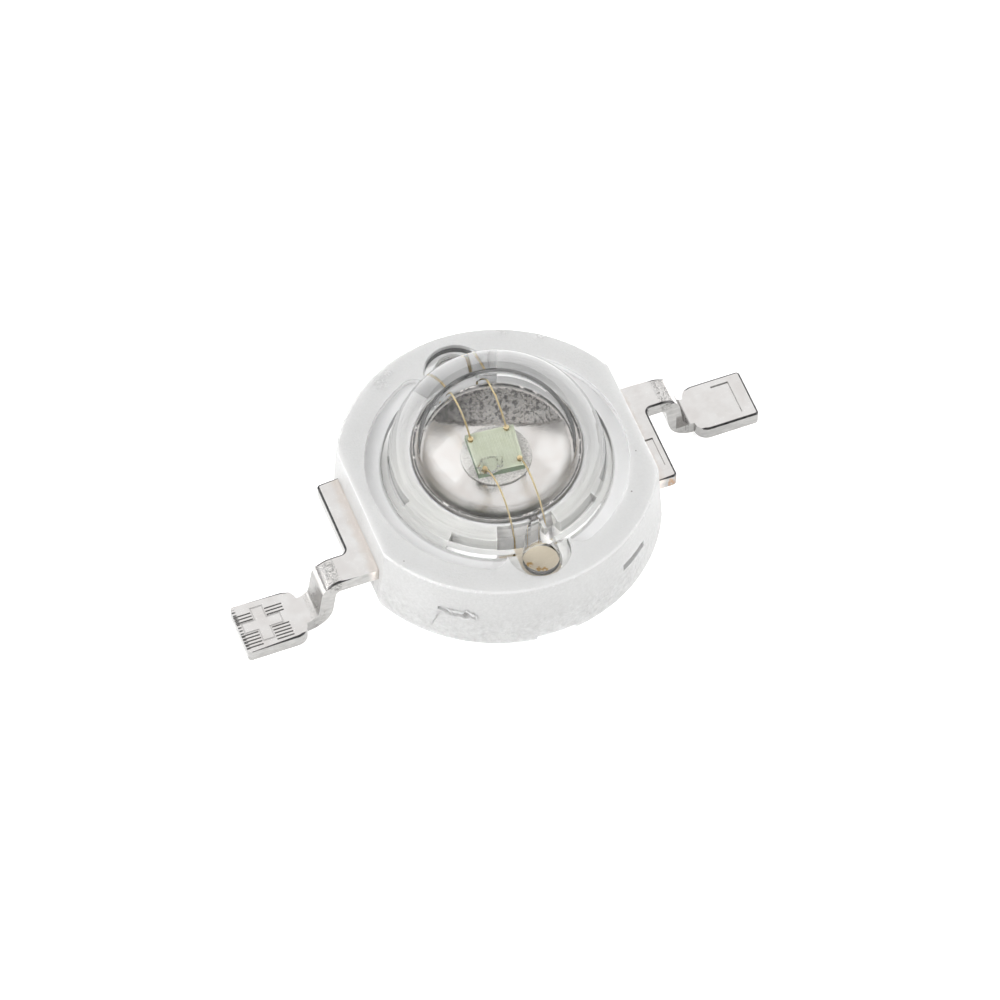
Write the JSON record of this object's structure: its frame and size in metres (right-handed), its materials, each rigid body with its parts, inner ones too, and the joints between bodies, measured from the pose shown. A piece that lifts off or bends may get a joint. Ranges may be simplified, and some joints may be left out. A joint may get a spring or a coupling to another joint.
{
  "type": "high power led",
  "caption": "Bead-type power LED: round moulded housing with two flats, domed lens over a reflector cup, heat slug underneath and a gull-wing solder lead on each side.",
  "frame": {"origin": "on the optical axis, in the plane of the slug base and of the undersides of both solder pads", "axes": "+Z along the optical axis, out of the dome; +X towards the cathode pad, which bears the minus mark; +Y towards the lens ear on the side of the cathode's bonding tab"},
  "size_m": [0.0144, 0.0082, 0.0053],
  "materials": {
    "housing": "white moulded thermoplastic, fine grain",
    "slug": "silver-plated copper, polished in the cup",
    "anode": "tin-plated copper, satin",
    "cathode": "tin-plated copper, satin",
    "lens": "clear, polished",
    "gel": "clear soft silicone",
    "attach": "matt silver epoxy",
    "die": "smooth, pale green",
    "wire": "gold, bright"
  },
  "bodies": {
    "root": {"housing": "housing", "heat_slug": "slug", "anode_lead": "anode", "cathode_lead": "cathode", "lens": "lens", "gel_fill": "gel", "die_attach": "attach", "led_die": "die", "anode_wire_1": "wire", "anode_wire_2": "wire", "cathode_wire_1": "wire", "cathode_wire_2": "wire"}
  },
  "joints": []
}
